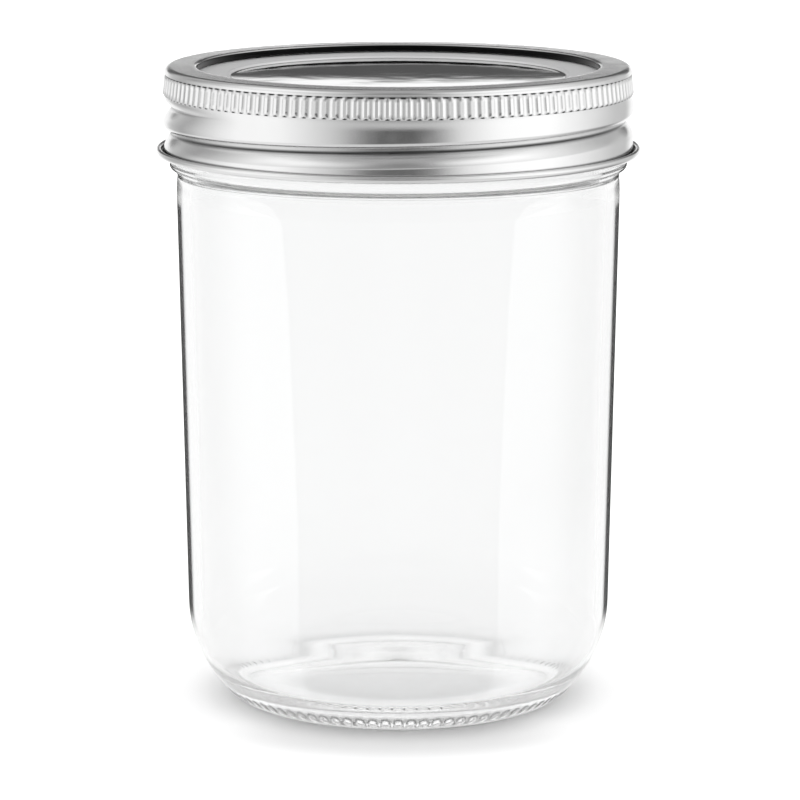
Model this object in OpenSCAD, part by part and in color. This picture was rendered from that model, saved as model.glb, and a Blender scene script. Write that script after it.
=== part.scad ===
// Wide-mouth glass jar with a two-piece screw closure, used for a sourdough starter.
// Sizes are in millimetres. +Z is up and the origin is the middle of the ring that the glass stands on.
// The front, where the rolled thread of the band is described from, faces -Y.

/* [Closed jar] */
// Height from the table to the top of the closed band
total_h = 120.5; // [112:0.5:150]

/* [Glass jar] */
// Outer radius of the body just under the shoulder
body_top_r = 41.6; // [41.2:0.1:42.4]
// Outer radius of the body where the rounded heel begins
body_foot_r = 40.1; // [39:0.1:41]
// Height at which the rounded heel begins
heel_z = 18.4; // [16:0.1:20]
// Radius of the rounded heel
heel_r = 23.6; // [22:0.1:27]
// Radius of the bend between the heel and the ring that the jar stands on
foot_edge_r = 4.6; // [4:0.1:5]
// Inner radius of that ring
ring_in_r = 25.8; // [24:0.1:26.5]
// Thickness of the glass wall
wall_t = 2.6; // [2:0.1:3.2]
// Thickness of the glass floor at its edge
floor_t = 3.4; // [3:0.1:4.6]
// Height of the hollow under the floor at its middle
punt_h = 0.6; // [0.4:0.1:1.2]
// How far the middle of the floor's top stands over its edge
floor_dome_h = 0.5; // [0:0.1:1]
// Width of the rounded inside corner between wall and floor
floor_corner_w = 11; // [10:0.5:13]
// Height of that corner
floor_corner_h = 13.6; // [12:0.1:15]
// How square that corner is: 2 is a quarter of an ellipse
floor_corner_power = 2.35; // [2:0.05:2.4]
// Radius of the mouth
mouth_r = 38.1; // [37.8:0.1:38.4]
// Outer radius of the neck between the turns of its thread
neck_r = 41.6; // [41.4:0.1:41.7]
// Outer radius of the glass bead under the band
bead_r = 42.9; // [42.5:0.1:43.1]
// Depth of the middle of the bead under the mouth
bead_drop = 16.7; // [16.4:0.1:17]
// Depth of the shoulder's waist under the mouth
pinch_drop = 18.9; // [18.6:0.1:19.4]
// Depth of the top of the body under the mouth
body_drop = 23; // [22:0.1:24]

/* [Screw band] */
// Outer radius of the plain wall of the band
band_r = 44; // [43.9:0.05:44.2]
// Height of the band
band_h = 16.65; // [16.4:0.05:17]
// Thickness of the sheet metal
sheet_t = 0.5; // [0.4:0.05:0.5]
// Radius of the round opening in the top of the band
opening_r = 37.7; // [37.2:0.1:37.8]
// Height of the turned-down edge of that opening
opening_lip_h = 1.4; // [1.2:0.05:1.45]
// Radius of the bend at the top of that edge
opening_bend_r = 0.9; // [0.7:0.05:1.1]
// Radius of the shoulder between top and wall
crown_r = 1.2; // [1:0.1:1.4]
// Height of the widest part of the wall
bulge_z = 113; // [112.5:0.1:113.5]
// Radius of the valleys between the ribs of the grip
grip_r = 43.75; // [43.6:0.05:43.8]
// Number of ribs in the knurled grip
knurl_n = 144; // [96:4:160]
// Height of the knurled grip
knurl_h = 3.9; // [3.4:0.1:4.1]
// Depth of the knurling, from the valleys to the crests of its ribs
knurl_t = 0.35; // [0.25:0.05:0.45]
// Depth of the top of the grip under the top of the band
knurl_drop = 1.3; // [1.2:0.1:1.5]
// Width of the open curl at the foot of the band
curl_w = 1.4; // [1.3:0.05:1.5]
// Width of the gap between the wall and the rolled edge of the curl
curl_gap = 0.42; // [0.35:0.01:0.45]

/* [Screw thread] */
// Rise of the thread in one turn
pitch = 5.08; // [4.9:0.02:5.2]
// Height of the rolled groove at the front of the closed band
groove_front_z = 109.05; // [108.9:0.05:109.2]
// Depth of the rolled groove
groove_depth = 1.55; // [1.3:0.05:1.6]
// Height of the steep side of the groove, over its bottom
groove_up_h = 1.9; // [1.7:0.05:2.1]
// Height of the long side of the groove, under its bottom
groove_down_h = 2.6; // [2.3:0.05:2.8]
// How far the glass thread stands out from the neck
thread_depth = 1.4; // [1.2:0.05:1.4]
// Height of the glass thread over the rolled groove that hooks under it
thread_lead = 1.95; // [1.9:0.05:2.6]
// Half of the height of the glass thread at its root
thread_root_half_h = 1.45; // [1.3:0.05:1.5]
// Half of the height of the glass thread at its crest
thread_crest_half_h = 0.45; // [0.3:0.05:0.6]

/* [Lid] */
// Outer radius of the flat lid
lid_r = 42; // [41.8:0.05:42]
// Thickness of the lid's sheet metal
lid_t = 0.4; // [0.3:0.05:0.4]
// Radius of the sunk panel in the middle of the lid
panel_r = 31.6; // [28:0.1:33]
// Depth of that panel
panel_depth = 0.6; // [0.3:0.05:0.8]
// How far the middle of the panel lies under its edge
panel_dish = 0.5; // [0:0.05:1]
// Depth of the lid's flat ring under the turned-down edge of the band
annulus_gap = 0.25; // [0.15:0.05:0.35]

/* [Hidden] */
$fn = 120;

// Room between flat faces of pieces that press on each other
seat_gap = 0.05;
// Number of flats in one turn of a thread
turn_steps = 72;
// Turn of the thread over which each of its ends fades into the wall, in degrees
fade_turn = 60;
// Azimuth of the front, in degrees from +X
front_az = -90;

// Heights, from the top down
band_bottom_z = total_h - band_h;
lip_bottom_z = total_h - opening_lip_h;
knurl_top_z = total_h - knurl_drop;
rim_z = total_h - sheet_t - seat_gap;
annulus_z = lip_bottom_z - annulus_gap;
jar_h = annulus_z - seat_gap;

// Heights on the glass
bead_z = jar_h - bead_drop;
pinch_z = jar_h - pinch_drop;
body_top_z = jar_h - body_drop;
neck_foot_z = bead_z + 2.2;

function on_arc(c, r, a) = c + r * [cos(a), sin(a)];

// Points along an arc about c, from angle a0 to a1
function arc(c, r, a0, a1, n) = [for (i = [0:n]) on_arc(c, r, a0 + (a1 - a0) * i / n)];

// Points along a bend that leaves p0 towards p1 and arrives at p2 from it
function bend(p0, p1, p2, n) = [
    for (i = [0:n])
        let (t = i / n)
            (1 - t) * (1 - t) * p0 + 2 * t * (1 - t) * p1 + t * t * p2
];

// Joins rings of points into one closed tube
module tube(rings) {
    count = len(rings);
    sides = len(rings[0]);
    points = [for (ring = rings) each ring];
    walls = [
        for (i = [0:count - 2], j = [0:sides - 1])
            let (k = (j + 1) % sides, a = i * sides, b = a + sides)
                each [[a + j, a + k, b + k], [a + j, b + k, b + j]]
    ];
    first = [for (j = [1:sides - 2]) [0, j + 1, j]];
    last = [for (j = [1:sides - 2]) (count - 1) * sides * [1, 1, 1] + [0, j, j + 1]];
    polyhedron(points = points, faces = concat(walls, first, last));
}

function thread_z(az) = groove_front_z + pitch * (az - front_az) / 360;

// 0 at the ends of a thread and 1 where it has its full depth
function fade(az, az0, az1) =
    let (t = min(1, (az - az0) / fade_turn, (az1 - az) / fade_turn))
        (1 - cos(180 * t)) / 2;

function place(r, z, az) = [r * cos(az), r * sin(az), z];

// Depth of the groove, from 0 to 1, at a share t of the height of one of its sides
function groove_share(t) = pow(1 - t, 1.5);

// A rolled wave that goes in from radius r towards the axis. back_r is the radius of its flat back,
// and trim is taken off both ends of its height
module rolled_wave(r, back_r, trim, az0, az1) {
    steps = ceil((az1 - az0) / 360 * turn_steps);
    up = groove_up_h - trim;
    down = groove_down_h - trim;
    tube([
        for (i = [0:steps])
            let (
                az = az0 + (az1 - az0) * i / steps,
                depth = groove_depth * fade(az, az0, az1),
                z = thread_z(az)
            )
                concat(
                    [place(back_r, z + up, az)],
                    [for (t = [1, 0.7, 0.4, 0.15, 0]) place(r - depth * groove_share(t), z + up * t, az)],
                    [for (t = [0.15, 0.4, 0.7, 1]) place(r - depth * groove_share(t), z - down * t, az)],
                    [place(back_r, z - down, az)]
                )
    ]);
}

// Azimuths at which the rolled groove starts and ends
groove_az = [front_az - 130, front_az + 330];
// Azimuths at which the glass thread starts and ends
glass_thread_az = [front_az - 160, front_az + 260];

// The thread on the glass: a low rib with sloped sides, sunk a little into the neck
module glass_thread() {
    az0 = glass_thread_az[0];
    az1 = glass_thread_az[1];
    steps = ceil((az1 - az0) / 360 * turn_steps);
    sunk = 0.4;
    tube([
        for (i = [0:steps])
            let (
                az = az0 + (az1 - az0) * i / steps,
                crest = neck_r - sunk / 2 + (thread_depth + sunk / 2) * fade(az, az0, az1),
                z = thread_z(az) + thread_lead
            )
                [
                    place(neck_r - sunk, z + thread_root_half_h, az),
                    place(neck_r - sunk, z - thread_root_half_h, az),
                    place(crest, z - thread_crest_half_h, az),
                    place(crest, z + thread_crest_half_h, az)
                ]
    ]);
}

// Outline of the outside of the glass, from the ring it stands on up to its lip
function glass_outside() =
    let (
        taper = atan((body_top_r - body_foot_r) / (body_top_z - heel_z)),
        heel_c = [body_foot_r, heel_z] - heel_r * [cos(taper), -sin(taper)],
        reach = heel_r - foot_edge_r,
        drop = heel_c[1] - foot_edge_r,
        foot_c = [heel_c[0] + sqrt(reach * reach - drop * drop), foot_edge_r],
        meet = asin(drop / reach),
        lip_r = 1.2
    )
        concat(
            arc(foot_c, foot_edge_r, -90, -meet, 6),
            arc(heel_c, heel_r, -meet + 3, -taper, 12),
            bend([body_top_r, body_top_z], [body_top_r, pinch_z - 0.4], [body_top_r - 0.2, pinch_z], 5),
            bend([bead_r - 1.1, bead_z - 0.8], [bead_r, bead_z - 0.7], [bead_r, bead_z], 4),
            bend([bead_r, bead_z + 0.2], [bead_r, bead_z + 1.2], [neck_r, neck_foot_z], 4),
            arc([neck_r - lip_r, jar_h - lip_r], lip_r, 0, 90, 5)
        );

// Outline of the inside, from the lip down to the middle of the floor
function glass_inside() =
    let (
        lip_r = 1,
        neck_in_z = pinch_z + 4,
        widening = body_top_r - wall_t - mouth_r,
        floor_r = body_foot_r - wall_t - floor_corner_w,
        corner_z = floor_t + floor_corner_h,
        power = 2 / floor_corner_power
    )
        concat(
            arc([mouth_r + lip_r, jar_h - lip_r], lip_r, 90, 180, 5),
            [
                for (t = [0:0.125:1])
                    [mouth_r + widening * (1 - cos(180 * t)) / 2, neck_in_z + (body_top_z - neck_in_z) * t]
            ],
            [
                for (a = [0:7.5:90])
                    [floor_r, corner_z]
                        + [floor_corner_w * pow(cos(a), power), -floor_corner_h * pow(sin(a), power)]
            ],
            [for (i = [4:-1:0]) [floor_r * i / 5, floor_t + floor_dome_h * (1 - i * i / 25)]]
        );

// Outline of the shallow hollow under the floor, from its middle out to the standing ring
function glass_underside() = [for (i = [0:8]) [ring_in_r * i / 8, punt_h * (1 - i * i / 64)]];

module jar() {
    color([0.86, 0.9, 0.9, 0.4]) {
        rotate_extrude() polygon(concat(glass_underside(), glass_outside(), glass_inside()));
        glass_thread();
    }
}

// Radius at which the lid's rim bends down into its skirt
rim_out_r = lid_r - 0.6;

// The lid's section, from its middle to its rim. t moves it down, which makes the underside
function lid_line(t) =
    let (edge_z = annulus_z - panel_depth)
        concat(
            bend(
                [0, edge_z - panel_dish - t],
                [panel_r / 2, edge_z - panel_dish - t],
                [panel_r - 1, edge_z - t],
                8
            ),
            bend(
                [panel_r - 0.3, edge_z + panel_depth / 2 - t],
                [panel_r, annulus_z - t],
                [panel_r + 0.6, annulus_z - t],
                3
            ),
            bend(
                [opening_r + 0.1, annulus_z - t],
                [opening_r + 0.7, annulus_z - t],
                [opening_r + 0.8, annulus_z + 0.35 - t],
                3
            ),
            [[opening_r + 1.3, rim_z - t], [rim_out_r, rim_z - t]]
        );

module lid_disc() {
    skirt_bottom_z = annulus_z + 0.1;
    under = lid_line(lid_t);
    last = len(under) - 1;
    color([0.8, 0.81, 0.82])
        rotate_extrude()
            polygon(concat(
                lid_line(0),
                bend([rim_out_r + 0.05, rim_z], [lid_r, rim_z], [lid_r, rim_z - 0.55], 4),
                [[lid_r, skirt_bottom_z], [lid_r - lid_t, skirt_bottom_z]],
                [[lid_r - lid_t, under[last][1] - 0.1]],
                [for (i = [last:-1:0]) under[i]]
            ));
}

// The ring of compound fills the channel under the lid's rim, down to the mouth of the glass
module seal_ring() {
    in_r = opening_r + 1.6;
    out_r = lid_r - lid_t;
    bottom_z = annulus_z;
    in_z = rim_z - lid_t;
    color([0.62, 0.6, 0.57])
        rotate_extrude()
            polygon(concat(
                bend([in_r, in_z - 0.2], [in_r, bottom_z], [in_r + 0.5, bottom_z], 3),
                bend([out_r - 0.5, bottom_z], [out_r, bottom_z], [out_r, bottom_z + 0.3], 3),
                [[out_r, in_z - 0.1], [in_r, in_z]]
            ));
}

// Section of the band's sheet: turned-down opening, top, shoulder, grip, wall and open curl
function band_section() =
    let (
        opening_c = [opening_r + opening_bend_r, total_h - opening_bend_r],
        crown_c = [grip_r - crown_r, total_h - crown_r],
        grip_bottom_z = knurl_top_z - knurl_h,
        curl_r = (curl_w + sheet_t) / 2,
        curl_c = [band_r - sheet_t + curl_r, band_bottom_z + curl_r],
        edge_r = (curl_w - curl_gap) / 2,
        edge_c = [band_r + curl_w - edge_r, curl_c[1]],
        slot_r = curl_gap / 2,
        slot_c = [band_r + slot_r, band_bottom_z + sheet_t + slot_r]
    )
        concat(
            [[opening_r, lip_bottom_z]],
            arc(opening_c, opening_bend_r, 180, 90, 6),
            arc(crown_c, crown_r, 90, 0, 8),
            bend([grip_r, grip_bottom_z], [band_r, (grip_bottom_z + bulge_z) / 2], [band_r, bulge_z], 5),
            arc(slot_c, slot_r, 180, 360, 6),
            arc(edge_c, edge_r, 180, 0, 8),
            arc(curl_c, curl_r, 0, -180, 12),
            bend(
                [band_r - sheet_t, bulge_z],
                [band_r - sheet_t, (grip_bottom_z + bulge_z) / 2],
                [grip_r - sheet_t, grip_bottom_z],
                5
            ),
            arc(crown_c, crown_r - sheet_t, 0, 90, 6),
            arc(opening_c, opening_bend_r - sheet_t, 90, 180, 4),
            [[opening_r + sheet_t, lip_bottom_z]]
        );

// One ring of ribs, rounded off at its top and bottom
module knurl() {
    step = 360 / knurl_n;
    valley_r = grip_r + 0.03;
    crest_r = grip_r + knurl_t;
    back_r = grip_r - sheet_t / 2;
    end_h = 0.5;
    bottom_z = knurl_top_z - knurl_h;
    intersection() {
        translate([0, 0, bottom_z])
            linear_extrude(knurl_h)
                difference() {
                    polygon([
                        for (i = [0:knurl_n - 1])
                            each [
                                valley_r * [cos((i - 0.2) * step), sin((i - 0.2) * step)],
                                crest_r * [cos(i * step), sin(i * step)],
                                crest_r * [cos((i + 0.4) * step), sin((i + 0.4) * step)],
                                valley_r * [cos((i + 0.6) * step), sin((i + 0.6) * step)]
                            ]
                    ]);
                    circle(back_r);
                }
        rotate_extrude()
            polygon([
                [back_r - 1, bottom_z - 1],
                [grip_r - 0.1, bottom_z],
                [crest_r + 0.05, bottom_z + end_h],
                [crest_r + 0.05, knurl_top_z - end_h],
                [grip_r - 0.1, knurl_top_z],
                [back_r - 1, knurl_top_z + 1]
            ]);
    }
}

// The groove is a wave in both faces of the sheet: its back is added inside and its front is cut away
module screw_band() {
    color([0.74, 0.75, 0.76])
        difference() {
            union() {
                rotate_extrude() polygon(band_section());
                knurl();
                rolled_wave(band_r - 0.35, band_r - 0.15, 0, groove_az[0], groove_az[1]);
            }
            rolled_wave(band_r + 0.15, band_r + 0.3, 0.35, groove_az[0], groove_az[1]);
        }
}

jar();
lid_disc();
seal_ring();
screw_band();
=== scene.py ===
"""Wide-mouth glass jar with a two-piece screw closure, dressed for a studio picture.

Every length is in metres. +Z is up, the jar stands on z = 0 and its front faces -Y.
"""

import math

import bmesh
import bpy
import numpy as np
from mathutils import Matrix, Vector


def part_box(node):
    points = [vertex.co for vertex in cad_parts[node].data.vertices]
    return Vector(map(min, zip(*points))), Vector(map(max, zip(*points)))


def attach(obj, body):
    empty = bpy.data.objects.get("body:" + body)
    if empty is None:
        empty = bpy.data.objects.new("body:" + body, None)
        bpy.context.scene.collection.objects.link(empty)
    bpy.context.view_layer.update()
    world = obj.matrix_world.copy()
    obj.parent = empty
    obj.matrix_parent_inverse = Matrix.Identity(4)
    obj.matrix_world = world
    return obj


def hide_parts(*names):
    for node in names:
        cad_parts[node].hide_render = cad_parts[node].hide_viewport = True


bl_info = {
    "name": "Sourdough starter jar",
    "version": (1, 0, 0),
    "blender": (4, 5, 0),
    "location": "3D View > Sidebar > Starter Jar",
    "description": "Builds a glass starter jar with a screw band and a flat lid",
    "category": "Object",
}

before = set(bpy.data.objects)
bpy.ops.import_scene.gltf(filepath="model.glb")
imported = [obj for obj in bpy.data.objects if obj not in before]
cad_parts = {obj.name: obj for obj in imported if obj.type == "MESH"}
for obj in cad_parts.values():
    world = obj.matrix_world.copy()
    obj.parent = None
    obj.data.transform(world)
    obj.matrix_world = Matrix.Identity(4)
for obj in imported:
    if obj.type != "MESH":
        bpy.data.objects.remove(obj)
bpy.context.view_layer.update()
JAR_LOW, JAR_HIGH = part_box("jar")
BAND_LOW, BAND_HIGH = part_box("screw_band")

MM = 0.001
FRONT_AZ = -90
DIFFUSE_LIGHT = 1.5


def length(text, default, low, high):
    """A size in metres that a user can change."""
    return bpy.props.FloatProperty(
        name=text, description=text, default=default, min=low, max=high, unit="LENGTH"
    )


def tint(text, default):
    """A colour that a user can change."""
    return bpy.props.FloatVectorProperty(
        name=text, description=text, default=default, min=0, max=1, size=3, subtype="COLOR"
    )


class GlassSizes(bpy.types.PropertyGroup):
    """Sizes of the glass jar."""

    body_top_r: length("Radius of the body under the shoulder", 41.6 * MM, 0.04, 0.043)
    body_foot_r: length("Radius of the body over the heel", 40.1 * MM, 0.039, 0.041)
    heel_z: length("Height at which the heel begins", 18.4 * MM, 0.016, 0.02)
    heel_r: length("Radius of the rounded heel", 23.6 * MM, 0.022, 0.027)
    foot_edge_r: length("Radius of the bend over the standing ring", 4.6 * MM, 0.004, 0.005)
    ring_in_r: length("Inner radius of the standing ring", 25.8 * MM, 0.024, 0.0265)
    wall_t: length("Thickness of the wall", 2.6 * MM, 0.002, 0.0032)
    floor_t: length("Thickness of the floor at its edge", 3.4 * MM, 0.003, 0.0046)
    floor_dome_h: length("Height of the floor's middle over its edge", 0.5 * MM, 0, 0.001)
    punt_h: length("Height of the hollow under the floor", 0.6 * MM, 0.0004, 0.0012)
    floor_corner_w: length("Width of the inside corner", 11 * MM, 0.01, 0.013)
    floor_corner_h: length("Height of the inside corner", 13.6 * MM, 0.012, 0.015)
    floor_corner_power: bpy.props.FloatProperty(
        name="Squareness of the corner", description="2 makes the inside corner an ellipse",
        default=2.35, min=2, max=2.4,
    )
    mouth_r: length("Radius of the mouth", 38.1 * MM, 0.0378, 0.0384)
    neck_r: length("Radius of the neck", 41.6 * MM, 0.0414, 0.0417)
    bead_r: length("Radius of the bead", 42.9 * MM, 0.0425, 0.0431)
    thread_depth: length("Height of the thread over the neck", 1.4 * MM, 0.0012, 0.0014)
    stipple_n: bpy.props.IntProperty(
        name="Number of stipples", description="Raised marks round the standing ring",
        default=88, min=40, max=120,
    )
    stipple_h: length("Height of a stipple", 0.25 * MM, 0, 0.0005)
    stipple_low_z: length("Foot of the ring of stipples", 0.9 * MM, 0, 0.002)
    stipple_high_z: length("Head of the ring of stipples", 3.1 * MM, 0.002, 0.005)
    glass_tint: tint("Colour of the glass", (0.977, 0.979, 0.979))


class BandSizes(bpy.types.PropertyGroup):
    """Sizes of the screw band."""

    band_r: length("Outer radius of the plain wall", 44 * MM, 0.0439, 0.0442)
    sheet_t: length("Thickness of the sheet", 0.5 * MM, 0.0004, 0.0005)
    opening_r: length("Radius of the opening", 37.7 * MM, 0.0372, 0.0378)
    opening_lip_h: length("Height of the turned-down edge", 1.4 * MM, 0.0012, 0.00145)
    opening_bend_r: length("Radius of the bend over that edge", 0.55 * MM, 0.0005, 0.0011)
    crown_r: length("Radius of the shoulder", 1.2 * MM, 0.001, 0.0014)
    top_slope: bpy.props.FloatProperty(
        name="Fall of the top", description="How much the flat top falls outwards, as a ratio",
        default=0.01, min=0, max=0.04,
    )
    bulge_z: length("Height of the widest part of the wall", 113 * MM, 0.1125, 0.1135)
    grip_r: length("Radius of the valleys of the grip", 43.75 * MM, 0.0436, 0.0438)
    curl_w: length("Width of the open curl", 1.4 * MM, 0.0013, 0.0015)
    curl_gap: length("Gap inside the curl", 0.42 * MM, 0.00035, 0.00045)
    pitch: length("Rise of the thread in one turn", 5.08 * MM, 0.0049, 0.0052)
    groove_front_z: length("Height of the groove at the front", 109.05 * MM, 0.1089, 0.1092)
    groove_depth: length("Depth of the groove", 1.55 * MM, 0.0013, 0.0016)
    groove_up_h: length("Height of the groove's steep side", 1.9 * MM, 0.0017, 0.0021)
    groove_down_h: length("Height of the groove's long side", 2.6 * MM, 0.0023, 0.0028)
    # The dark line over the groove's bottom is painted shade
    painted_shade_z: length("Height of the dark line over the groove's bottom", 0.1 * MM, -0.0005, 0.0005)
    painted_shade_w: length("Half the width of that line", 0.75 * MM, 0.0003, 0.0015)
    knurl_n: bpy.props.IntProperty(
        name="Number of ribs", description="Ribs of the knurled grip",
        default=144, min=96, max=160,
    )
    knurl_h: length("Height of the knurled grip", 4.1 * MM, 0.0034, 0.0041)
    knurl_t: length("Depth of the knurling", 0.35 * MM, 0.00025, 0.00045)
    knurl_drop: length("Depth of the grip under the top", 1.3 * MM, 0.0012, 0.0015)
    steel: tint("Colour of the band's steel", (0.80, 0.80, 0.80))


class LidSizes(bpy.types.PropertyGroup):
    """Sizes of the flat lid and its seal."""

    lid_r: length("Radius of the lid", 42 * MM, 0.0418, 0.042)
    lid_t: length("Thickness of the lid", 0.4 * MM, 0.0003, 0.0004)
    panel_r: length("Radius of the sunk panel", 31.6 * MM, 0.028, 0.033)
    panel_depth: length("Depth of the sunk panel", 0.6 * MM, 0.0003, 0.0008)
    panel_dish: length("Dish of the sunk panel", 0.5 * MM, 0, 0.001)
    annulus_gap: length("Depth of the flat ring under the band's edge", 0.25 * MM, 0.00015, 0.00035)
    steel: tint("Colour of the lid's steel", (0.78, 0.78, 0.78))
    enamel: tint("Colour of the enamel under the lid", (0.86, 0.86, 0.84))
    seal: tint("Colour of the sealing compound", (0.36, 0.34, 0.32))


class StageSizes(bpy.types.PropertyGroup):
    """Sizes of the floor and places of the camera."""

    floor_r: length("Radius of the floor", 1.6, 0.5, 5)
    camera_y: length("Distance of the camera in front", 0.75, 0.5, 1.5)
    camera_z: length("Height of the camera", 199.65 * MM, 0.1, 0.5)
    camera_x: length("Side step of the camera", 0.32 * MM, -0.01, 0.01)
    camera_pitch: bpy.props.FloatProperty(
        name="Pitch", description="How far the camera looks down",
        default=math.radians(10.803), subtype="ANGLE",
    )
    camera_lens: bpy.props.FloatProperty(
        name="Lens", description="Focal length of the camera in millimetres", default=180.8,
    )


def on_arc(c, r, a):
    """Point on a circle about c, at an angle in degrees."""
    return (c[0] + r * math.cos(math.radians(a)), c[1] + r * math.sin(math.radians(a)))


def arc(c, r, a0, a1, n):
    """Points along an arc about c, from angle a0 to a1."""
    return [on_arc(c, r, a0 + (a1 - a0) * i / n) for i in range(n + 1)]


def bend(p0, p1, p2, n):
    """Points along a bend that leaves p0 towards p1 and arrives at p2 from it."""
    points = []
    for i in range(n + 1):
        t = i / n
        points.append(
            tuple((1 - t) ** 2 * a + 2 * t * (1 - t) * b + t * t * c for a, b, c in zip(p0, p1, p2))
        )
    return points


def run(p0, p1, n):
    """Points along a straight line, without its ends."""
    return [
        (p0[0] + (p1[0] - p0[0]) * i / n, p0[1] + (p1[1] - p0[1]) * i / n) for i in range(1, n)
    ]


def lathe(outline, steps, shape=None, loop=False):
    """A mesh that turns an outline of (r, z) points about Z.

    shape moves the points: it takes arrays of r, z and azimuth and gives new r and z.
    A loop outline joins its last point to its first; another one starts and ends on the axis.
    """
    line = np.array(outline, float)
    az = np.linspace(-math.pi, math.pi, steps, endpoint=False)
    r = np.repeat(line[:, 0][:, None], steps, 1)
    z = np.repeat(line[:, 1][:, None], steps, 1)
    a = np.repeat(az[None, :], len(line), 0)
    if shape:
        r, z = shape(r, z, a)
    co = np.stack([r * np.cos(a), r * np.sin(a), z], -1).reshape(-1, 3)
    count = len(line)
    rows = count if loop else count - 1
    i, j = np.meshgrid(np.arange(rows), np.arange(steps), indexing="ij")
    k, n = (j + 1) % steps, (i + 1) % count
    quads = np.stack([i * steps + j, n * steps + j, n * steps + k, i * steps + k], -1).reshape(-1, 4)
    mesh = bpy.data.meshes.new("lathe")
    mesh.from_pydata(co.tolist(), [], quads.tolist())
    work = bmesh.new()
    work.from_mesh(mesh)
    bmesh.ops.remove_doubles(work, verts=work.verts, dist=1e-6)
    bmesh.ops.dissolve_degenerate(work, edges=work.edges, dist=1e-7)
    bmesh.ops.recalc_face_normals(work, faces=work.faces)
    work.to_mesh(mesh)
    work.free()
    return mesh


def add_piece(name, mesh, finish, smooth_deg=35):
    """Links a mesh as a piece, smooth but for its sharp edges."""
    mesh.name = name
    mesh.polygons.foreach_set("use_smooth", [True] * len(mesh.polygons))
    mesh.set_sharp_from_angle(angle=math.radians(smooth_deg))
    mesh.materials.clear()
    mesh.materials.append(finish)
    piece = bpy.data.objects.new(name, mesh)
    bpy.context.scene.collection.objects.link(piece)
    return piece


def place_piece(piece, body, node):
    """The piece stands for a CAD node and moves with its body."""
    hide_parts(node)
    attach(piece, body)


class Wiring:
    """Adds nodes to one node tree and links them."""

    def __init__(self, tree):
        self.tree = tree
        tree.nodes.clear()

    def add(self, kind, inputs=(), **settings):
        """A node with its settings, and its inputs by name or number: a socket or a value."""
        node = self.tree.nodes.new(kind)
        for key, value in settings.items():
            setattr(node, key, value)
        for key, value in dict(inputs).items():
            if isinstance(value, bpy.types.NodeSocket):
                self.tree.links.new(value, node.inputs[key])
            else:
                node.inputs[key].default_value = value
        return node

    def math(self, operation, *values):
        """The result of a Math node."""
        return self.add(
            "ShaderNodeMath", dict(enumerate(values)), operation=operation
        ).outputs[0]

    def fade(self, value, low, high, start=0.0, end=1.0):
        """start below low, end above high and a smooth step between."""
        return self.add(
            "ShaderNodeMapRange",
            {"Value": value, "From Min": low, "From Max": high, "To Min": start, "To Max": end},
            interpolation_type="SMOOTHSTEP",
        ).outputs["Result"]

    def blend(self, a, b, factor):
        """a where the factor is 0 and b where it is 1."""
        return self.add("ShaderNodeMix", {"Factor": factor, "A": a, "B": b}).outputs["Result"]

    def mix_colour(self, a, b, factor):
        """Colour a where the factor is 0 and colour b where it is 1."""
        node = self.add("ShaderNodeMix", {"Factor": factor}, data_type="RGBA")
        for key, value in (("A", a), ("B", b)):
            socket = [s for s in node.inputs if s.name == key and s.type == "RGBA"][0]
            if isinstance(value, bpy.types.NodeSocket):
                self.tree.links.new(value, socket)
            else:
                socket.default_value = (*value, 1)
        return [s for s in node.outputs if s.type == "RGBA"][0]

    def ramp(self, degrees, stops):
        """Straight steps between (degrees, value) stops, for an angle from -90 to 90."""
        where = self.fade_free(degrees)
        node = self.add("ShaderNodeValToRGB", {"Fac": where})
        marks = node.color_ramp.elements
        while len(marks) < len(stops):
            marks.new(1)
        for mark, (angle, value) in zip(marks, stops):
            mark.position = (angle + 90) / 180
            mark.color = (value, value, value, 1)
        return node.outputs["Color"]

    def fade_free(self, degrees):
        """0 at -90 degrees and 1 at 90."""
        return self.math("MULTIPLY_ADD", degrees, 1 / 180, 0.5)


def finish_tree(name):
    """A new material's wiring and its Principled shader."""
    material = bpy.data.materials.new(name)
    material.use_nodes = True
    wiring = Wiring(material.node_tree)
    shader = wiring.add("ShaderNodeBsdfPrincipled")
    wiring.add("ShaderNodeOutputMaterial", {"Surface": shader.outputs[0]})
    return material, wiring, shader


def stipple_share(wiring, place, count, low_z, high_z, inner_r):
    """1 on each stipple and 0 round it, and 1 along its upper edge, for a place's X, Y and Z."""
    radius = wiring.math("POWER", wiring.math(
        "MULTIPLY_ADD", place["X"], place["X"], wiring.math("MULTIPLY", place["Y"], place["Y"])
    ), 0.5)
    outside = wiring.math("GREATER_THAN", radius, inner_r)
    turn = wiring.math("DIVIDE", wiring.math("ARCTAN2", place["Y"], place["X"]), math.tau)
    cell = wiring.math("FRACT", wiring.math("MULTIPLY_ADD", turn, count, 0.5))
    across = wiring.math("MULTIPLY", wiring.math("SUBTRACT", cell, 0.5), 2.3)
    middle = wiring.math("MULTIPLY", wiring.math("ADD", low_z, high_z), 0.5)
    half = wiring.math("MULTIPLY", wiring.math("SUBTRACT", high_z, low_z), 0.5)
    along = wiring.math("DIVIDE", wiring.math("SUBTRACT", place["Z"], middle), half)
    off = wiring.math("POWER", wiring.math(
        "MULTIPLY_ADD", across, across, wiring.math("MULTIPLY", along, along)
    ), 0.5)
    dot = wiring.fade(off, 0.45, 1.0, 1.0, 0.0)
    edge = wiring.math(
        "MULTIPLY", wiring.fade(off, 0.55, 0.75), wiring.fade(off, 0.9, 1.1, 1.0, 0.0)
    )
    edge = wiring.math("MULTIPLY", edge, wiring.fade(along, -0.5, 0.1))
    return wiring.math("MULTIPLY", dot, outside), wiring.math("MULTIPLY", edge, outside)


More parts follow.
